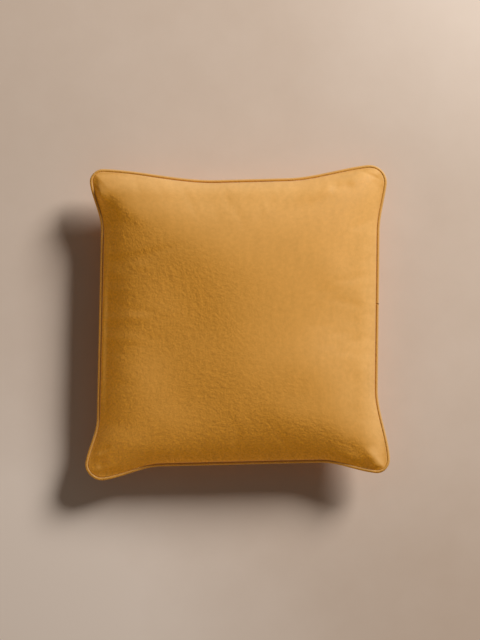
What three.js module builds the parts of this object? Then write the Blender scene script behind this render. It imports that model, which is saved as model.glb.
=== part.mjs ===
import * as THREE from "three";

// A square scatter cushion lying on its back, in millimetres, +Z up. Its front panel faces up,
// +Y is its far side, and the origin is on the surface below the middle of its outline.

// Driving dimensions
const SEAM_HEIGHT = 52; // of the seam above the surface, at the middle of each side
const CROWN = 58; // of the front panel above the seam
const CROWN_FLATNESS = { across: 2.05, near: 3.3, far: 4 }; // 2 is round, and more is flatter
const CROWN_SHOULDER = 0.63; // less rises more steeply from the seam
const CORNER_CLOSING = { power: 24, from: 0.5, to: 0.85 }; // shuts the panels at round corners
const REST_SPREAD = 1.16; // how far the filling spreads the back panel flat on the surface
const PIPING_DIAMETER = 5;
const SEAM_GAP = 0.4; // between the piping and the edge of the cushion
const JOIN_GAP = 0.5; // between the piping's two ends, which meet on the right side

// The corners of the piping's outer edge, sharp as its sides would meet, how they are rounded,
// and how far the seam sinks there. Where that is negative, it rises.
const CORNERS = {
  nearRight: { x: 226.5, y: -221.8, round: 21.5, drop: -10 },
  farRight: { x: 224.7, y: 237.5, round: 31, drop: 6 },
  farLeft: { x: -218.4, y: 228.9, round: 21, drop: -3 },
  nearLeft: { x: -227.3, y: -234.8, round: 27.5, drop: 5 },
};

// Each side leaves its corners straight for the length of the ear, and by the end of the flare
// the filling has drawn it in. Each pair holds the value at the side's first and second corner.
const SIDES = [
  { from: "nearRight", to: "farRight", ear: [18, 7], flare: [125, 100], drawn: [19, 11.5] },
  { from: "farRight", to: "farLeft", ear: [7, 7], flare: [150, 190], drawn: [18, 21] },
  { from: "farLeft", to: "nearLeft", ear: [13, 16], flare: [90, 95], drawn: [18.5, 17] },
  { from: "nearLeft", to: "nearRight", ear: [20, 10], flare: [115, 103], drawn: [19.5, 17.5] },
];

// Soft ridges of the front panel, from one place to another, and troughs of a negative height.
const FOLDS = [
  { fold: "middle left trough", x: -85, y: 33, toX: -61, toY: -137, width: 36, height: -4.5 },
  { fold: "near right fullness", x: 118, y: -63, toX: 136, toY: -151, width: 42, height: 4 },
  { fold: "far left corner ridge", x: -205, y: 207, toX: 5, toY: 85, width: 22, height: 2.5 },
  { fold: "near right corner ridge", x: 212, y: -209, toX: 160, toY: -161, width: 12, height: 2.5 },
  { fold: "near left ridge", x: -200, y: -173, toX: -70, toY: -193, width: 18, height: 3 },
  { fold: "left side pucker", x: -202, y: 5, toX: -140, toY: 8, width: 8, height: 1.2 },
  { fold: "right side trough", x: 110, y: 84, toX: 196, toY: 19, width: 22, height: -1.6 },
];
const FOLD_FADE = 0.3; // the part of the crown's rise over which a fold runs out at the seam

// Mesh sizes
const CORNER_STEPS = 5; // along the half of a corner's arc
const SIDE_STEPS = 28;
const BODY_ROWS = 20;
const PIPING_CURVE_SEGMENTS = 4; // makes eight sides
const JOIN_STATION = 21; // the step from the near right corner where the piping's ends meet

// Mustard velvet, and the darker edge of its piping
const VELVET_COLOUR = 0xbb8032;
const PIPING_COLOUR = 0xad7229;

const STEPS_PER_SIDE = SIDE_STEPS + 2 * CORNER_STEPS;
const STATIONS = SIDES.length * STEPS_PER_SIDE;
const CORNER_SHARE = CORNER_STEPS / STEPS_PER_SIDE;
const SEAM_INSET = PIPING_DIAMETER + SEAM_GAP;
const OUTLINE_LENGTH = 1800; // about, for turning a short length into a part of the way round
const FIRST_CORNER_TURN = 1 / 8; // the near right corner lies this far before the +X axis

// Each side as a straight line between its corners, and half the angle that the outline turns
// by at its first corner.
const LINES = SIDES.map((side, number) => {
  const start = new THREE.Vector2(CORNERS[side.from].x, CORNERS[side.from].y);
  const direction = new THREE.Vector2(CORNERS[side.to].x, CORNERS[side.to].y).sub(start);
  const sideBefore = SIDES[(number + SIDES.length - 1) % SIDES.length];
  const corner = CORNERS[sideBefore.from];
  const directionBefore = start.clone().sub(new THREE.Vector2(corner.x, corner.y));
  const halfTurn = (direction.angle() - directionBefore.angle() + 2 * Math.PI) / 2;
  const length = direction.length();
  return { start, direction: direction.normalize(), length, halfTurn: halfTurn % Math.PI };
});

// A place on one half of a rounded corner: how far along the side, and how far inside it.
function cornerPlace(round, halfTurn, share) {
  const angle = halfTurn * (1 - share);
  const along = round * (Math.tan(halfTurn) - Math.sin(angle));
  return { along, inset: round * (1 - Math.cos(angle)) };
}

// A place on a side, for the part of its steps that lies before it.
function sidePlace(number, share) {
  const { length, halfTurn } = LINES[number];
  const halfTurnTo = LINES[(number + 1) % SIDES.length].halfTurn;
  const roundFrom = CORNERS[SIDES[number].from].round;
  const roundTo = CORNERS[SIDES[number].to].round;
  if (share < CORNER_SHARE) {
    return cornerPlace(roundFrom, halfTurn, share / CORNER_SHARE);
  }
  if (share > 1 - CORNER_SHARE) {
    const { along, inset } = cornerPlace(roundTo, halfTurnTo, (1 - share) / CORNER_SHARE);
    return { along: length - along, inset };
  }
  const first = roundFrom * Math.tan(halfTurn);
  const last = length - roundTo * Math.tan(halfTurnTo);
  const straightShare = (share - CORNER_SHARE) / (1 - 2 * CORNER_SHARE);
  return { along: THREE.MathUtils.lerp(first, last, straightShare), inset: 0 };
}

// How far the filling has drawn a side in, at a distance along it.
function drawnIn(number, along) {
  const { ear, flare, drawn } = SIDES[number];
  const { length } = LINES[number];
  const drawnAtStart = THREE.MathUtils.smoothstep(along, ear[0], flare[0]);
  const drawnAtEnd = THREE.MathUtils.smoothstep(length - along, ear[1], flare[1]);
  const depth = THREE.MathUtils.lerp(drawn[0], drawn[1], along / length);
  return depth * drawnAtStart * drawnAtEnd;
}

// The outline for a turn of 0 to 1.
function outlinePlace(turn) {
  const place = THREE.MathUtils.euclideanModulo(turn, 1) * SIDES.length;
  const number = Math.floor(place);
  const { start, direction } = LINES[number];
  const { along, inset } = sidePlace(number, place % 1);
  const inwards = inset + drawnIn(number, along);
  const point = start.clone().addScaledVector(direction, along);
  return point.add(new THREE.Vector2(-direction.y, direction.x).multiplyScalar(inwards));
}

// How far a place is from the middle towards each pair of drawn-in sides, from -1 to 1.
function sideShares(x, y) {
  const [right, far, left, near] = LINES.map(({ start, direction }, number) => {
    const fromStart = new THREE.Vector2(x, y).sub(start);
    const along = fromStart.dot(direction);
    return Math.max(0, direction.cross(fromStart) - drawnIn(number, along) - SEAM_INSET);
  });
  return { across: (left - right) / (left + right), down: (near - far) / (near + far) };
}

// The level of the seam, and inside it of the middle between the two panels.
function seamHeight({ across, down }) {
  const farCorner = across > 0 ? CORNERS.farRight : CORNERS.farLeft;
  const nearCorner = across > 0 ? CORNERS.nearRight : CORNERS.nearLeft;
  const { drop } = down > 0 ? farCorner : nearCorner;
  return SEAM_HEIGHT - drop * Math.abs(across * down) ** 3;
}

// How far a panel has risen from the seam, from 0 at the seam to 1 in the middle. The reach is
// 1 at the seam and 0 at the cushion's middle.
function panelRise(reach, { across, down }) {
  const flatness = down > 0 ? CROWN_FLATNESS.far : CROWN_FLATNESS.near;
  const dome = (1 - Math.abs(across) ** CROWN_FLATNESS.across) * (1 - Math.abs(down) ** flatness);
  const { power, from, to } = CORNER_CLOSING;
  const closing = reach ** power * THREE.MathUtils.smoothstep(Math.abs(across * down), from, to);
  return Math.max(0, dome) ** CROWN_SHOULDER * (1 - closing);
}

// A route round the cushion, a set distance inside the outline. Its steps are closer together
// round the corners, so equal steps of its length aren't wanted.
class SeamRoute extends THREE.Curve {
  constructor(inwards, startTurn, endTurn) {
    super();
    this.inwards = inwards;
    this.startTurn = startTurn;
    this.endTurn = endTurn;
  }

  getPoint(t, target = new THREE.Vector3()) {
    const turn = THREE.MathUtils.lerp(this.startTurn, this.endTurn, t);
    const turnStep = 0.0001;
    const point = outlinePlace(turn);
    const before = outlinePlace(turn - turnStep);
    const direction = outlinePlace(turn + turnStep).sub(before).normalize();
    point.add(new THREE.Vector2(-direction.y, direction.x).multiplyScalar(this.inwards));
    return target.set(point.x, point.y, seamHeight(sideShares(point.x, point.y)));
  }

  getUtoTmapping(u) {
    return u;
  }
}

function foldHeight(x, y) {
  const place = new THREE.Vector3(x, y, 0);
  const nearest = new THREE.Vector3();
  let height = 0;
  for (const fold of FOLDS) {
    const start = new THREE.Vector3(fold.x, fold.y, 0);
    const line = new THREE.Line3(start, new THREE.Vector3(fold.toX, fold.toY, 0));
    line.closestPointToPoint(place, true, nearest);
    height += fold.height * Math.exp(-((place.distanceTo(nearest) / fold.width) ** 2));
  }
  return height;
}

// The filled cushion: a ball whose equator is the seam. Above it is the front panel's crown,
// and below it the back panel, which the weight of the filling presses flat on the surface.
function cushionBody() {
  const seam = new SeamRoute(SEAM_INSET, 0, 1);
  const geometry = new THREE.SphereGeometry(1, STATIONS, BODY_ROWS);
  geometry.rotateX(Math.PI / 2);
  const positions = geometry.getAttribute("position");
  for (let index = 0; index < positions.count; index += 1) {
    const ball = new THREE.Vector3().fromBufferAttribute(positions, index);
    const reach = Math.min(1, Math.hypot(ball.x, ball.y));
    const angleTurn = Math.atan2(ball.y, ball.x) / (2 * Math.PI) + FIRST_CORNER_TURN;
    const turn = Math.round(angleTurn * STATIONS) / STATIONS;
    const seamPoint = seam.getPoint(turn);
    const x = reach * seamPoint.x;
    const y = reach * seamPoint.y;
    const shares = sideShares(x, y);
    const rise = panelRise(reach, shares);
    const middle = seamHeight(shares);
    if (ball.z >= 0) {
      const fade = THREE.MathUtils.smoothstep(rise, 0, FOLD_FADE);
      positions.setXYZ(index, x, y, middle + CROWN * rise + foldHeight(x, y) * fade);
    } else {
      positions.setXYZ(index, x, y, middle * (1 - Math.min(1, REST_SPREAD * rise)));
    }
  }
  geometry.computeVertexNormals();
  return geometry;
}

// The piping: one covered cord sewn into the seam all the way round, its two ends butted
// together on the right side.
function piping() {
  const join = JOIN_STATION / STATIONS;
  const halfGap = JOIN_GAP / 2 / OUTLINE_LENGTH;
  const route = new SeamRoute(PIPING_DIAMETER / 2, join + halfGap, join + 1 - halfGap);
  const section = new THREE.Shape().absarc(0, 0, PIPING_DIAMETER / 2, 0, 2 * Math.PI);
  return new THREE.ExtrudeGeometry(section, {
    steps: STATIONS,
    curveSegments: PIPING_CURVE_SEGMENTS,
    extrudePath: route,
  });
}

function velvetMesh(name, geometry, colour) {
  const material = new THREE.MeshStandardMaterial({ color: colour, roughness: 0.92, metalness: 0 });
  const mesh = new THREE.Mesh(geometry, material);
  mesh.name = name;
  return mesh;
}

const cushion = new THREE.Group();
cushion.add(velvetMesh("cushion_body", cushionBody(), VELVET_COLOUR));
cushion.add(velvetMesh("piping", piping(), PIPING_COLOUR));

// The origin goes below the middle of the outline, which the piping bounds.
const outlineMiddle = new THREE.Box3().setFromObject(cushion).getCenter(new THREE.Vector3());
for (const mesh of cushion.children) {
  mesh.geometry.translate(-outlineMiddle.x, -outlineMiddle.y, 0);
}

export default cushion;
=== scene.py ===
import math

import bmesh
import bpy
import numpy as np
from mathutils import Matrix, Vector


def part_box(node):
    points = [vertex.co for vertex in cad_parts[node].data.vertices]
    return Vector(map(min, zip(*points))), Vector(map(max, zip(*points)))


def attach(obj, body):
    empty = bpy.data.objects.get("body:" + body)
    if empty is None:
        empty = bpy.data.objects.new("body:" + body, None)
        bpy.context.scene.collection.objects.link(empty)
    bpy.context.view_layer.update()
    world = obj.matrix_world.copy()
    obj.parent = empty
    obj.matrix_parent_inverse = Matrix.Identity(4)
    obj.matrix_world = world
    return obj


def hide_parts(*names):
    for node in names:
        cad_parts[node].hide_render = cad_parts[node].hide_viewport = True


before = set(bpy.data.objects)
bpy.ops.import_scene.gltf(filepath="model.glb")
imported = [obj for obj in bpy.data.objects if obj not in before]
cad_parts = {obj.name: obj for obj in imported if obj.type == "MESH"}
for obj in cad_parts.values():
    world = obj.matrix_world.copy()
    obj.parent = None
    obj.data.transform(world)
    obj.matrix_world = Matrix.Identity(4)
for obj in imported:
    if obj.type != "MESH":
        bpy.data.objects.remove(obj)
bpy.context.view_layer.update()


# Cushion cover: a front and a back panel of mustard velvet, cut square with rounded corners and
# sewn together in a knife edge round a feather filling. The filling draws the sides in between
# the corners, domes the front panel, and spreads the back panel flat where the cushion rests.

# The corners of the piping's outer edge, sharp as its sides would meet, their rounding, and how
# far the seam sinks there. Where that is negative, it rises.
CORNERS = {
    "near right": {"x": 0.2265, "y": -0.2218, "round": 0.0215, "drop": -0.010},
    "far right": {"x": 0.2247, "y": 0.2375, "round": 0.0310, "drop": 0.006},
    "far left": {"x": -0.2184, "y": 0.2289, "round": 0.0210, "drop": -0.003},
    "near left": {"x": -0.2273, "y": -0.2348, "round": 0.0275, "drop": 0.005},
}

# Each side leaves its corners straight for the length of the ear, and by the end of the flare
# the filling has drawn it in. Each pair is for the side's first and second corner.
SIDES = [
    {"from": "near right", "to": "far right", "ear": (0.018, 0.007), "flare": (0.125, 0.100),
     "drawn": (0.0190, 0.0115)},
    {"from": "far right", "to": "far left", "ear": (0.007, 0.007), "flare": (0.150, 0.190),
     "drawn": (0.0180, 0.0210)},
    {"from": "far left", "to": "near left", "ear": (0.013, 0.016), "flare": (0.090, 0.095),
     "drawn": (0.0185, 0.0170)},
    {"from": "near left", "to": "near right", "ear": (0.020, 0.010), "flare": (0.115, 0.103),
     "drawn": (0.0195, 0.0175)},
]
CORNER_SHARE = 0.04  # of a side's turn, for its half of each corner

PIPING_RADIUS = 0.0025
SEAM_INSET = 0.0042  # from the piping's outer edge to the line that the panels are sewn on
SEAM_LIFT = 0.0016  # of that line above the piping's middle

SEAM_HEIGHT = 0.052  # of the seam above the floor, at the middle of each side
DROP_POWER = 3  # more keeps a corner's drop closer to the corner
CROWN = 0.058  # of the front panel above the seam
CROWN_ROUNDING = {"across": 2.05, "near": 3.3, "far": 4.0}  # 2 is a dome, and more is flatter
CROWN_SHOULDER = 0.63  # below 1, the panel leaves the seam more steeply
CORNER_CLOSING = {"power": 24, "from": 0.5, "to": 0.85}  # shuts the panels at round corners
REST_SPREAD = 1.16  # how far the filling presses the back panel flat on the floor
REST_SOFTNESS = 0.003  # of the bend where the back panel leaves the floor

# Mesh sizes. The sewn cover is simulated on a coarse grid, and its puckers go to the fine one.
SIM_CELLS = 80
CELLS = 200
GRID_PASSES = 60  # that even out the grid's lines inside the seam
RIM_CROWDING = 0.6  # how much the grid's lines crowd towards the seam, from 0 for not at all
RIM_POWER = 1.5  # more crowds them closer to the seam
OUTLINE_STEPS = 4000  # places on the outline, which the seam and the piping are read from


def smoothstep(value, low, high):
    share = np.clip((value - low) / (high - low), 0, 1)
    return share * share * (3 - 2 * share)


def side_lines():
    """Each side as a straight line between its corners, and half the turn at its first corner."""
    corners = {name: Vector((corner["x"], corner["y"])) for name, corner in CORNERS.items()}
    lines = []
    for number, side in enumerate(SIDES):
        start, end = corners[side["from"]], corners[side["to"]]
        before = corners[SIDES[number - 1]["from"]]
        direction = (end - start).normalized()
        half_turn = (start - before).angle(direction) / 2
        lines.append((start, direction, (end - start).length, half_turn))
    return lines


LINES = side_lines()


def drawn_in(side, along, length):
    """How far the filling has drawn a side in, at a distance along it."""
    depth = side["drawn"][0] + (side["drawn"][1] - side["drawn"][0]) * along / length
    depth = depth * smoothstep(along, side["ear"][0], side["flare"][0])
    return depth * smoothstep(length - along, side["ear"][1], side["flare"][1])


def corner_place(rounding, half_turn, share):
    """How far along its side and in from it a corner's arc is, at a share of half the arc."""
    angle = half_turn * (1 - share)
    return rounding * (math.tan(half_turn) - math.sin(angle)), rounding * (1 - math.cos(angle))


def outline_place(turn, slack):
    """A place on the outline. A slack of 1 is the flat cut, before the cushion was filled."""
    number = int(turn * len(SIDES)) % len(SIDES)
    share = turn * len(SIDES) % 1
    side = SIDES[number]
    start, direction, length, half_turn = LINES[number]
    next_half_turn = LINES[(number + 1) % len(SIDES)][3]
    round_from = CORNERS[side["from"]]["round"]
    round_to = CORNERS[side["to"]]["round"]
    if share < CORNER_SHARE:
        along, inset = corner_place(round_from, half_turn, share / CORNER_SHARE)
    elif share > 1 - CORNER_SHARE:
        along, inset = corner_place(round_to, next_half_turn, (1 - share) / CORNER_SHARE)
        along = length - along
    else:
        first = round_from * math.tan(half_turn)
        last = length - round_to * math.tan(next_half_turn)
        along = first + (last - first) * (share - CORNER_SHARE) / (1 - 2 * CORNER_SHARE)
        inset = 0
    inset += drawn_in(side, along, length) * (1 - slack)
    return start + direction * along + Vector((-direction.y, direction.x)) * inset


TURNS = np.linspace(0, 1, OUTLINE_STEPS, endpoint=False)
OUTLINE = np.array([outline_place(turn, 0) for turn in TURNS])
FLAT_OUTLINE = np.array([outline_place(turn, 1) for turn in TURNS])

# The outline's box stands over the box of the frame's piping.
piping_low, piping_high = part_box("piping")
OUTLINE_SHIFT = np.array([
    (piping_low[axis] + piping_high[axis] - OUTLINE[:, axis].min() - OUTLINE[:, axis].max()) / 2
    for axis in (0, 1)
])


def inside_line(outline, inwards):
    """The line that runs a set distance inside an outline."""
    forward = np.roll(outline, -1, axis=0) - np.roll(outline, 1, axis=0)
    forward /= np.linalg.norm(forward, axis=1)[:, None]
    return outline + OUTLINE_SHIFT + inwards * np.stack((-forward[:, 1], forward[:, 0]), axis=1)


def place_on(line, turn):
    """The place on a closed line at each turn."""
    return [np.interp(turn, TURNS, line[:, axis], period=1) for axis in (0, 1)]


def side_rooms(x, y):
    """How far a place is inside the seam of each drawn-in side."""
    rooms = []
    for side, (start, direction, length, _) in zip(SIDES, LINES):
        from_start_x = x - OUTLINE_SHIFT[0] - start.x
        from_start_y = y - OUTLINE_SHIFT[1] - start.y
        along = from_start_x * direction.x + from_start_y * direction.y
        inside = from_start_y * direction.x - from_start_x * direction.y
        rooms.append(np.maximum(inside - drawn_in(side, along, length) - SEAM_INSET, 0))
    return rooms


def side_shares(x, y):
    """How far a place is from the middle towards each pair of drawn-in sides, from -1 to 1."""
    right, far, left, near = side_rooms(x, y)
    return (left - right) / (left + right), (near - far) / (near + far)


def panel_rise(reach, across, down):
    """How far a panel has risen from the seam, from 0 at the seam to 1 in the middle."""
    down_rounding = np.where(down > 0, CROWN_ROUNDING["far"], CROWN_ROUNDING["near"])
    dome = (1 - abs(across) ** CROWN_ROUNDING["across"]) * (1 - abs(down) ** down_rounding)
    near_corner = smoothstep(abs(across * down), CORNER_CLOSING["from"], CORNER_CLOSING["to"])
    closing = 1 - reach ** CORNER_CLOSING["power"] * near_corner
    return np.maximum(dome, 0) ** CROWN_SHOULDER * closing


def seam_level(across, down):
    """The level of the seam, and inside it of the middle between the two panels."""
    far = np.where(across > 0, CORNERS["far right"]["drop"], CORNERS["far left"]["drop"])
    near = np.where(across > 0, CORNERS["near right"]["drop"], CORNERS["near left"]["drop"])
    return SEAM_HEIGHT - np.where(down > 0, far, near) * abs(across * down) ** DROP_POWER


# Soft folds and dents of the front panel, as lines with the height of the fold, or minus the
# depth of the dent, and half its width. A fold fades out towards both its ends.
FOLDS = [
    {"fold": "trough down the middle left", "x": -0.091, "y": 0.031, "to_x": -0.028,
     "to_y": -0.163, "width": 0.056, "height": -0.0065},
    {"fold": "hollow down the left", "x": -0.127, "y": -0.017, "to_x": -0.086,
     "to_y": -0.143, "width": 0.045, "height": -0.0055},
    {"fold": "hollow across the middle left", "x": -0.127, "y": 0.093, "to_x": -0.008,
     "to_y": -0.048, "width": 0.035, "height": -0.0012},
    {"fold": "hollow along the left side", "x": -0.190, "y": 0.070, "to_x": -0.212,
     "to_y": -0.131, "width": 0.026, "height": -0.0046},
    {"fold": "fullness along the right side", "x": 0.186, "y": 0.100, "to_x": 0.186,
     "to_y": -0.160, "width": 0.012, "height": 0.0016},
    {"fold": "fullness along the far side", "x": -0.190, "y": 0.194, "to_x": 0.110,
     "to_y": 0.194, "width": 0.013, "height": 0.0022},
    {"fold": "fullness near the near right corner", "x": 0.092, "y": -0.044, "to_x": 0.166,
     "to_y": -0.140, "width": 0.060, "height": 0.0065},
    {"fold": "fullness along the near side", "x": 0.046, "y": -0.127, "to_x": 0.164,
     "to_y": -0.175, "width": 0.031, "height": 0.0031},
    {"fold": "swelling towards the join", "x": 0.126, "y": 0.087, "to_x": 0.199,
     "to_y": 0.024, "width": 0.026, "height": 0.0013},
    {"fold": "swelling below the join", "x": 0.172, "y": -0.040, "to_x": 0.183,
     "to_y": -0.078, "width": 0.018, "height": 0.0014},
    {"fold": "broad ridge from the far left corner", "x": -0.219, "y": 0.183, "to_x": 0.026,
     "to_y": 0.076, "width": 0.046, "height": 0.003},
    {"fold": "sharp start of that ridge", "x": -0.222, "y": 0.207, "to_x": -0.139,
     "to_y": 0.149, "width": 0.0155, "height": 0.0015},
    {"fold": "ridge beside its start", "x": -0.228, "y": 0.202, "to_x": -0.197,
     "to_y": 0.183, "width": 0.0095, "height": 0.0040},
    {"fold": "hollow beside the ridge", "x": -0.188, "y": 0.181, "to_x": -0.188,
     "to_y": 0.105, "width": 0.014, "height": -0.0024},
    {"fold": "hollow above the ridge", "x": -0.160, "y": 0.201, "to_x": -0.011,
     "to_y": 0.179, "width": 0.021, "height": -0.0012},
    {"fold": "crease from the left side", "x": -0.193, "y": 0.090, "to_x": -0.098,
     "to_y": 0.108, "width": 0.0055, "height": -0.0008},
    {"fold": "hollow under that crease", "x": -0.191, "y": 0.082, "to_x": -0.121,
     "to_y": 0.096, "width": 0.007, "height": -0.001},
    {"fold": "first pucker of the left side", "x": -0.201, "y": 0.047, "to_x": -0.156,
     "to_y": 0.049, "width": 0.0055, "height": 0.0006},
    {"fold": "second pucker of the left side", "x": -0.202, "y": 0.005, "to_x": -0.138,
     "to_y": 0.007, "width": 0.006, "height": 0.0011},
    {"fold": "third pucker of the left side", "x": -0.203, "y": -0.023, "to_x": -0.145,
     "to_y": -0.024, "width": 0.0075, "height": 0.0009},
    {"fold": "ridge along the near left", "x": -0.206, "y": -0.167, "to_x": -0.067,
     "to_y": -0.203, "width": 0.018, "height": 0.0014},
    {"fold": "first fold of the near left fan", "x": -0.225, "y": -0.206, "to_x": -0.183,
     "to_y": -0.186, "width": 0.0035, "height": 0.0008},
    {"fold": "second fold of the near left fan", "x": -0.222, "y": -0.223, "to_x": -0.183,
     "to_y": -0.212, "width": 0.0035, "height": 0.0008},
    {"fold": "first dent of the near left corner", "x": -0.203, "y": -0.193, "to_x": -0.189,
     "to_y": -0.184, "width": 0.004, "height": -0.0014},
    {"fold": "second dent of the near left corner", "x": -0.205, "y": -0.214, "to_x": -0.196,
     "to_y": -0.202, "width": 0.004, "height": -0.0014},
    {"fold": "ridge in the near right corner", "x": 0.209, "y": -0.222, "to_x": 0.195,
     "to_y": -0.190, "width": 0.009, "height": 0.0040},
    {"fold": "hollow beyond that ridge", "x": 0.184, "y": -0.195, "to_x": 0.159,
     "to_y": -0.180, "width": 0.010, "height": -0.0015},
    {"fold": "ridge into the far right corner", "x": 0.092, "y": 0.181, "to_x": 0.215,
     "to_y": 0.231, "width": 0.0105, "height": 0.0031},
    {"fold": "dimple of the far right corner", "x": 0.141, "y": 0.198, "to_x": 0.168,
     "to_y": 0.204, "width": 0.007, "height": -0.0018},
    {"fold": "pucker of the far right corner", "x": 0.183, "y": 0.226, "to_x": 0.209,
     "to_y": 0.214, "width": 0.0025, "height": -0.0008},
]
FOLD_FADE = 0.3  # the share of a fold's length, to both sides of each end, over which it fades
SEAM_FADE = 0.010  # the strip along the seam over which the folds run out


def fold_height(x, y):
    """How far the folds lift the front panel at each place."""
    height = np.zeros_like(x)
    for fold in FOLDS:
        run = Vector((fold["to_x"] - fold["x"], fold["to_y"] - fold["y"]))
        from_x, from_y = x - fold["x"], y - fold["y"]
        share = (from_x * run.x + from_y * run.y) / run.length_squared
        aside = (from_y * run.x - from_x * run.y) / run.length
        start_fade = smoothstep(share, -FOLD_FADE, FOLD_FADE)
        end_fade = smoothstep(1 - share, -FOLD_FADE, FOLD_FADE)
        profile = np.exp(-(aside / fold["width"]) ** 2)
        height += fold["height"] * (start_fade * end_fade) * profile
    return height * smoothstep(np.min(side_rooms(x, y), axis=0), 0, SEAM_FADE)


def square_place(across, down):
    """For places on a square from -1 to 1: their reach from the middle, and their turn."""
    reach = np.maximum(abs(across), abs(down))
    ring = np.maximum(reach, 1e-9)
    on_side = [across == reach, down == reach, across == -reach, down == -reach]
    turns = [
        (down / ring + 1) / 8,
        (1 - across / ring) / 8 + 0.25,
        (1 - down / ring) / 8 + 0.5,
        (across / ring + 1) / 8 + 0.75,
    ]
    return reach, np.select(on_side, turns)


def evened(grid, passes):
    """A grid of values whose inside is evened out and whose rim is kept."""
    grid = grid.copy()
    for _ in range(passes):
        grid[1:-1, 1:-1] = (
            grid[:-2, 1:-1] + grid[2:, 1:-1] + grid[1:-1, :-2] + grid[1:-1, 2:]
        ) / 4
    return grid


def panel_shapes(lines):
    """The front panel, the back panel and the flat cut, for each place of a grid of lines."""
    reach, turn = square_place(*np.meshgrid(lines, lines))
    seam_lines = [inside_line(line, SEAM_INSET) for line in (OUTLINE, FLAT_OUTLINE)]
    (x, y), (flat_x, flat_y) = [
        [evened(value * reach, GRID_PASSES) for value in place_on(line, turn)]
        for line in seam_lines
    ]
    across, down = side_shares(x, y)
    rise = panel_rise(reach, across, down)
    level = seam_level(across, down)
    front = np.stack((x, y, level + SEAM_LIFT + CROWN * rise), axis=2)
    back = np.stack((x, y, level * (1 - REST_SPREAD * rise)), axis=2)
    return front, back, np.stack((flat_x, flat_y, np.zeros_like(x)), axis=2)


def sewn_cover(name, front, back, cut):
    """Two grids of the same size, sewn together along their rims, with their flat cut."""
    last = len(front) - 1
    bm = bmesh.new()
    cut_layer = bm.verts.layers.float_vector.new("cut")
    place_layer = bm.verts.layers.int.new("place")
    for panel, shape in enumerate((front, back)):
        grid = bmesh.ops.create_grid(bm, x_segments=last, y_segments=last, size=1)["verts"]
        for vert in grid:
            column = round((vert.co.x + 1) / 2 * last)
            row = round((vert.co.y + 1) / 2 * last)
            vert.co = shape[row, column]
            vert[cut_layer] = cut[row, column]
            vert[place_layer] = (panel * (last + 1) + row) * (last + 1) + column
    bmesh.ops.reverse_faces(bm, faces=list({face for vert in grid for face in vert.link_faces}))
    rim = [vert for vert in bm.verts if vert.is_boundary]
    bmesh.ops.remove_doubles(bm, verts=rim, dist=1e-6)
    mesh = bpy.data.meshes.new(name)
    bm.to_mesh(mesh)
    bm.free()
    cover = bpy.data.objects.new(name, mesh)
    bpy.context.scene.collection.objects.link(cover)
    return cover


SIM_FRAMES = 25
SLACK = 0.008  # the share by which the panels are cut larger than the filled shape
PUCKER_PASSES = 100  # the overall shape that these leave is the filling's, and isn't kept
PUCKER_LIMIT = 0.003
PUCKERS_KEPT = 0.35  # the pile and the pad under it soften them


def simulated_puckers(lines):
    """The puckers that the filling's pressure makes in the sewn cover, for each place."""
    count = len(lines)
    cover = sewn_cover("sewn_cover", *panel_shapes(lines))
    places = np.array([place.value for place in cover.data.attributes["place"].data])
    panels, rows, columns = places // count ** 2, places // count % count, places % count
    on_rim = (rows == 0) | (rows == count - 1) | (columns == 0) | (columns == count - 1)
    seam = cover.vertex_groups.new(name="seam")
    seam.add([int(index) for index in np.flatnonzero(on_rim)], 1.0, "REPLACE")
    cloth = cover.modifiers.new("Cloth", "CLOTH")
    cloth.collision_settings.use_collision = False
    cloth.point_cache.frame_end = SIM_FRAMES
    settings = cloth.settings
    settings.quality = 6
    settings.mass = 0.001
    settings.tension_stiffness = 30
    settings.compression_stiffness = 30
    settings.shear_stiffness = 7.5
    settings.bending_stiffness = 2
    settings.shrink_min = -SLACK
    settings.use_pressure = True
    settings.uniform_pressure_force = 22
    settings.vertex_group_mass = seam.name
    settings.effector_weights.gravity = 0
    for frame_number in range(1, SIM_FRAMES + 1):
        bpy.context.scene.frame_set(frame_number)
    settled = cover.evaluated_get(bpy.context.evaluated_depsgraph_get()).data.vertices
    moves = np.zeros((count, count, 2, 3))
    moves[rows, columns, panels] = [
        after.co - before.co for after, before in zip(settled, cover.data.vertices)
    ]
    bpy.context.scene.frame_set(1)
    bpy.data.objects.remove(cover)
    puckers = np.clip(moves - evened(moves, PUCKER_PASSES), -PUCKER_LIMIT, PUCKER_LIMIT)
    return puckers * PUCKERS_KEPT


def spline_weights(lines, knots):
    """A matrix that reads a smooth curve through evenly spaced values at the given lines."""
    weights = np.zeros((len(lines), knots))
    for row, line in enumerate(lines):
        first = min(int((line + 1) / 2 * (knots - 1)), knots - 2)
        part = (line + 1) / 2 * (knots - 1) - first
        basis = (
            (1 - part) ** 3,
            3 * part ** 3 - 6 * part ** 2 + 4,
            -3 * part ** 3 + 3 * part ** 2 + 3 * part + 1,
            part ** 3,
        )
        for offset, share in zip((-1, 0, 1, 2), basis):
            weights[row, min(max(first + offset, 0), knots - 1)] += share / 6
    return weights


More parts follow.
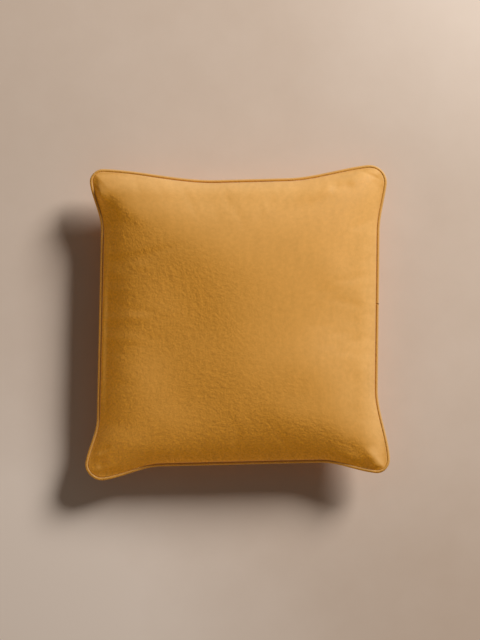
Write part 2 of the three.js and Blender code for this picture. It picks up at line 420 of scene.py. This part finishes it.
even_lines = np.linspace(-1, 1, CELLS + 1)
crowded_lines = np.sign(even_lines) * (1 - (1 - abs(even_lines)) ** RIM_POWER)
cover_lines = even_lines * (1 - RIM_CROWDING) + crowded_lines * RIM_CROWDING
front, back, cut = panel_shapes(cover_lines)
front[:, :, 2] += fold_height(front[:, :, 0], front[:, :, 1])
puckers = simulated_puckers(np.linspace(-1, 1, SIM_CELLS + 1))
weights = spline_weights(cover_lines, SIM_CELLS + 1)
fine_puckers = np.einsum("ri,ijpc,kj->prkc", weights, puckers, weights)
front += fine_puckers[0]
back += fine_puckers[1]
back[:, :, 2] = (back[:, :, 2] + np.hypot(back[:, :, 2], REST_SOFTNESS)) / 2
for edge in (np.s_[0], np.s_[-1], np.s_[:, 0], np.s_[:, -1]):
    back[edge] = front[edge]
cover = sewn_cover("velvet_cover", front, back, cut)
cover.data.shade_smooth()
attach(cover, "root")
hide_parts("cushion_body")


class Wire:
    """A value in a material, so that shader maths can be written as an expression."""

    def __init__(self, tree, socket=None):
        self.tree = tree
        self.socket = socket

    def add(self, kind, settings, inputs, output=0):
        """The output of a new node, from its type, its settings and what its sockets take."""
        node = self.tree.nodes.new(kind)
        for name, value in settings.items():
            setattr(node, name, value)
        for name, value in inputs.items():
            if isinstance(value, Wire):
                self.tree.links.new(value.socket, node.inputs[name])
            else:
                node.inputs[name].default_value = value
        return Wire(self.tree, node.outputs[output])

    def maths(self, operation, first, second):
        return self.add("ShaderNodeMath", {"operation": operation}, {0: first, 1: second})

    def __add__(self, other):
        return self.maths("ADD", self, other)

    def __radd__(self, other):
        return self.maths("ADD", other, self)

    def __sub__(self, other):
        return self.maths("SUBTRACT", self, other)

    def __rsub__(self, other):
        return self.maths("SUBTRACT", other, self)

    def __mul__(self, other):
        return self.maths("MULTIPLY", self, other)

    def __rmul__(self, other):
        return self.maths("MULTIPLY", other, self)


# Painted light: slopes that face the lamp, towards the far right, are painted paler, a painted
# sheen, and slopes that face away are painted darker, a painted shade. The paler slopes look
# smoother too.
LAMP_ANGLE = math.radians(49)
TOWARDS_LAMP = (math.cos(LAMP_ANGLE), math.sin(LAMP_ANGLE), 0.0)
PAINTED_SHADE_TINT = (1.02, 0.93, 0.23, 1)
PAINTED_SHEEN_TINT = (0.935, 1.21, 2.93, 1)
PAINTED_LIGHT_SLOPES = {"none": -0.45, "full": 0.75}
# How much the pile's bumps and specks stand out: most on the painted shade, least on the painted
# sheen.
RELIEF = {"most": 2.4, "until_painted_light": 0.1, "least": 0.18, "from_painted_light": 0.46}
PILE_DEPTH = 0.0014

# How much each pattern shows in the velvet's colour, and how fine or stretched it is.
TUFTS_SHOW = 0.9
STREAKS_SHOW = 0.5
BLOTCHES_SHOW = 0.4
SPECKS_TO_TUFT = 2.2
STREAK_STRETCH = (0.6, 0.2, 0.6)
BLOTCHES_PER_METRE = 14.0


def velvet(name, place_attribute, tuft, dark, pale):
    """Short-pile velvet, mottled, and brushed along the cloth. Its tufts are of the given size."""
    material = bpy.data.materials.new(name)
    material.use_nodes = True
    tree = material.node_tree
    shader = tree.nodes["Principled BSDF"]
    wire = Wire(tree)
    place = wire.add("ShaderNodeAttribute", {"attribute_name": place_attribute}, {}, "Vector")
    tufts = wire.add("ShaderNodeTexNoise", {}, {
        "Vector": place, "Scale": 1 / tuft, "Detail": 3.0, "Roughness": 0.62}, "Fac")
    brushed = wire.add("ShaderNodeMapping", {}, {"Vector": place, "Scale": STREAK_STRETCH})
    streaks = wire.add("ShaderNodeTexNoise", {}, {
        "Vector": brushed, "Scale": 1 / tuft, "Detail": 2.0, "Roughness": 0.5}, "Fac")
    specks = wire.add("ShaderNodeTexNoise", {}, {
        "Vector": place, "Scale": SPECKS_TO_TUFT / tuft, "Detail": 2.0, "Roughness": 0.5}, "Fac")
    blotches = wire.add("ShaderNodeTexNoise", {}, {
        "Vector": place, "Scale": BLOTCHES_PER_METRE, "Detail": 2.0, "Roughness": 0.5}, "Fac")
    # Painted light: the slope towards the lamp sets a painted sheen and a painted shade in the
    # colour.
    facing = wire.add("ShaderNodeNewGeometry", {}, {}, "Normal")
    slope = wire.add("ShaderNodeVectorMath", {"operation": "DOT_PRODUCT"}, {
        0: facing, 1: TOWARDS_LAMP}, "Value")
    painted_light = wire.add("ShaderNodeMapRange", {}, {
        "Value": slope, "From Min": PAINTED_LIGHT_SLOPES["none"], "From Max": PAINTED_LIGHT_SLOPES["full"]}, 0)
    relief = wire.add("ShaderNodeMapRange", {}, {
        "Value": painted_light, "From Min": RELIEF["until_painted_light"], "From Max": RELIEF["from_painted_light"],
        "To Min": RELIEF["most"], "To Max": RELIEF["least"]}, 0)
    tone = 0.5 + (specks - 0.5) * relief
    for pattern, shows in ((tufts, TUFTS_SHOW), (streaks, STREAKS_SHOW), (blotches, BLOTCHES_SHOW)):
        tone = tone + (pattern - 0.5) * shows
    mottled = wire.add("ShaderNodeMix", {"data_type": "RGBA"}, {0: tone, 6: dark, 7: pale}, 2)
    # The painted sheen and painted shade, as a tint over the mottled colour.
    tint = wire.add("ShaderNodeMix", {"data_type": "RGBA"}, {
        0: painted_light, 6: PAINTED_SHADE_TINT, 7: PAINTED_SHEEN_TINT}, 2)
    colour = wire.add("ShaderNodeMix", {"data_type": "RGBA", "blend_type": "MULTIPLY"}, {
        0: 1.0, 6: mottled, 7: tint}, 2)
    tree.links.new(colour.socket, shader.inputs["Base Color"])
    tree.links.new((0.58 + (tufts - 0.5) * 0.2).socket, shader.inputs["Roughness"])
    shader.inputs["Specular IOR Level"].default_value = 0.15
    shader.inputs["Sheen Weight"].default_value = 0.6
    shader.inputs["Sheen Roughness"].default_value = 0.3
    shader.inputs["Sheen Tint"].default_value = (1.0, 0.95, 0.88, 1)
    pile = (tufts * 0.8 + streaks * 0.2) * relief
    normal = wire.add("ShaderNodeBump", {}, {
        "Height": pile, "Strength": 0.8, "Distance": PILE_DEPTH}, "Normal")
    tree.links.new(normal.socket, shader.inputs["Normal"])
    return material


cover.data.materials.append(velvet(
    "mustard velvet", "cut", tuft=0.0068,
    dark=(0.62, 0.285, 0.041, 1), pale=(0.81, 0.371, 0.058, 1)
))


# Piping: a cord wrapped in a bias strip of the same velvet and sewn into the seam all the way
# round. Its two ends are cut on a slant and meet on the right side, where a small nick shows.
PIPING_STATIONS = 640
PIPING_SIDES = 12
JOIN_TURN = 0.1391  # how far round it is from the near right corner, in parts of the whole way
JOIN_GAP = 0.0008  # in the same parts
JOIN_SLANT = 0.75  # how far the cut leans along the piping, as a share of its height

middle_line = inside_line(OUTLINE, PIPING_RADIUS)
middle_x, middle_y = middle_line[:, 0], middle_line[:, 1]
middle_z = seam_level(*side_shares(middle_x, middle_y))
angles = [2 * math.pi * side / PIPING_SIDES for side in range(PIPING_SIDES)]
bm = bmesh.new()
first_ring = bmesh.ops.create_circle(bm, segments=PIPING_SIDES, radius=1)["verts"]


def face_order(face):
    """A number for each face that puts the faces in the order of their corners' numbers."""
    corners = [vert.index for vert in face.verts]
    return min(corners) * len(bm.verts) + max(corners)


def place_ring(ring, turn, slant):
    """Moves a ring of the piping to its place along the seam."""
    middle, ahead = [
        Vector([np.interp(place, TURNS, line, period=1) for line in (middle_x, middle_y, middle_z)])
        for place in (turn, turn + 1 / OUTLINE_STEPS)
    ]
    forward = (ahead - middle).normalized()
    outward = Vector((forward.y, -forward.x, 0)).normalized()
    upward = outward.cross(forward) + forward * slant
    for vert, angle in zip(ring, angles):
        vert.co = middle + PIPING_RADIUS * (outward * math.cos(angle) + upward * math.sin(angle))


place_ring(first_ring, JOIN_TURN + JOIN_GAP / 2, JOIN_SLANT)
ring, edges = first_ring, list(bm.edges)
for station in range(1, PIPING_STATIONS + 1):
    made = bmesh.ops.extrude_edge_only(bm, edges=edges)["geom"]
    made_verts = {item for item in made if isinstance(item, bmesh.types.BMVert)}
    edges = [item for item in made if isinstance(item, bmesh.types.BMEdge)
             and made_verts.issuperset(item.verts)]
    ring = [next(edge.other_vert(vert) for edge in vert.link_edges
                 if edge.other_vert(vert) in made_verts) for vert in ring]
    turn = JOIN_TURN + JOIN_GAP / 2 + (1 - JOIN_GAP) * station / PIPING_STATIONS
    place_ring(ring, turn, JOIN_SLANT if station == PIPING_STATIONS else 0)
for end in (first_ring, ring):
    cut_end = bmesh.ops.contextual_create(bm, geom=end)["faces"][0]
    for edge in cut_end.edges:
        edge.smooth = False
bmesh.ops.recalc_face_normals(bm, faces=bm.faces)
bm.verts.index_update()
bm.faces.sort(key=face_order)  # an extrusion leaves them in an order that changes from run to run
piping_mesh = bpy.data.meshes.new("velvet_piping")
bm.to_mesh(piping_mesh)
bm.free()
piping = bpy.data.objects.new("velvet_piping", piping_mesh)
bpy.context.scene.collection.objects.link(piping)
piping_mesh.shade_smooth()
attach(piping, "root")
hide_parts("piping")
piping_mesh.materials.append(velvet(
    "piping velvet", "position", tuft=0.003,
    dark=(0.60, 0.28, 0.045, 1), pale=(0.74, 0.36, 0.065, 1)
))


# Floor: a plain pale plaster surface for the cushion to lie on. The plaster is a little cloudy,
# and broad patches of painted light and painted shade make it paler or darker than the rest.
PAINTED_LIGHT_PATCHES = [
    {"patch": "far right", "x": 0.36, "y": 0.50, "reach": 0.34, "paler": 0.52},
    {"patch": "near left", "x": -0.32, "y": -0.52, "reach": 0.52, "paler": 0.98},
    {"patch": "left", "x": -0.45, "y": -0.20, "reach": 0.55, "paler": 0.31},
    {"patch": "near right", "x": 0.36, "y": -0.44, "reach": 0.32, "paler": -0.27},
]
PLAIN_TONE = 0.27  # where 0 is the dark plaster, and 1 the pale
CLOUDS_SHOW = 0.35
DARK_PLASTER = (0.67, 0.53, 0.42, 1)
PALE_PLASTER = (0.92, 0.79, 0.68, 1)

bm = bmesh.new()
bmesh.ops.create_grid(bm, x_segments=1, y_segments=1, size=4)
floor_mesh = bpy.data.meshes.new("floor")
bm.to_mesh(floor_mesh)
bm.free()
floor = bpy.data.objects.new("floor", floor_mesh)
bpy.context.scene.collection.objects.link(floor)
plaster = bpy.data.materials.new("pale plaster")
plaster.use_nodes = True
plaster_shader = plaster.node_tree.nodes["Principled BSDF"]
wire = Wire(plaster.node_tree)
place = wire.add("ShaderNodeTexCoord", {}, {}, "Object")
clouds = wire.add("ShaderNodeTexNoise", {}, {
    "Vector": place, "Scale": 9.0, "Detail": 5.0, "Roughness": 0.6}, "Fac")
tone = PLAIN_TONE + (clouds - 0.5) * CLOUDS_SHOW
# Each patch is a painted pool of light, or of painted shade where it is negative, on the plaster.
for row in PAINTED_LIGHT_PATCHES:
    apart = wire.add("ShaderNodeVectorMath", {"operation": "DISTANCE"}, {
        0: place, 1: (row["x"], row["y"], 0.0)}, "Value")
    patch = wire.add("ShaderNodeMapRange", {"interpolation_type": "SMOOTHSTEP"}, {
        "Value": apart, "From Min": row["reach"], "From Max": 0.0, "To Max": row["paler"]}, 0)
    tone = tone + patch
colour = wire.add("ShaderNodeMix", {"data_type": "RGBA"}, {
    0: tone, 6: DARK_PLASTER, 7: PALE_PLASTER}, 2)
plaster.node_tree.links.new(colour.socket, plaster_shader.inputs["Base Color"])
plaster_shader.inputs["Roughness"].default_value = 0.9
plaster_shader.inputs["Specular IOR Level"].default_value = 0.1
floor_mesh.materials.append(plaster)


# Light: one soft lamp, low over the far right corner, a low card that lifts the cushion's shaded
# side, and a faint warm light from all round.
LAMPS = [
    {"lamp": "soft lamp", "azimuth": 46, "height": 30.5, "distance": 4.5, "size": 1.6,
     "watts": 230, "colour": (1.0, 0.97, 0.94), "lights": "all"},
    {"lamp": "fill card", "azimuth": 230, "height": 14, "distance": 3.0, "size": 2.0,
     "watts": 34, "colour": (1.0, 0.88, 0.74), "lights": "cushion"},
]
cushion_alone = bpy.data.collections.new("cushion alone")
cushion_alone.objects.link(cover)
cushion_alone.objects.link(piping)
for row in LAMPS:
    lamp_data = bpy.data.lights.new(row["lamp"], "AREA")
    lamp_data.shape = "DISK"
    lamp_data.size = row["size"]
    lamp_data.energy = row["watts"]
    lamp_data.color = row["colour"]
    lamp = bpy.data.objects.new(row["lamp"], lamp_data)
    azimuth, height = math.radians(row["azimuth"]), math.radians(row["height"])
    lamp.location = row["distance"] * Vector((
        math.cos(azimuth) * math.cos(height), math.sin(azimuth) * math.cos(height), math.sin(height)
    ))
    lamp.rotation_euler = (-lamp.location).to_track_quat("-Z", "Y").to_euler()
    if row["lights"] == "cushion":
        lamp.light_linking.receiver_collection = cushion_alone
    bpy.context.scene.collection.objects.link(lamp)
world = bpy.data.worlds.new("room")
world.use_nodes = True
world.node_tree.nodes["Background"].inputs["Color"].default_value = (1.0, 0.82, 0.68, 1)
world.node_tree.nodes["Background"].inputs["Strength"].default_value = 0.1
bpy.context.scene.world = world
bpy.context.scene.view_settings.view_transform = "Standard"


# Camera: straight above, as the photograph was taken.
CAMERA_PLACE = (0.0042, 0.0039, 2.296)
camera_data = bpy.data.cameras.new("camera")
camera_data.lens = 85
camera = bpy.data.objects.new("camera", camera_data)
camera.location = CAMERA_PLACE
bpy.context.scene.collection.objects.link(camera)
bpy.context.scene.camera = camera
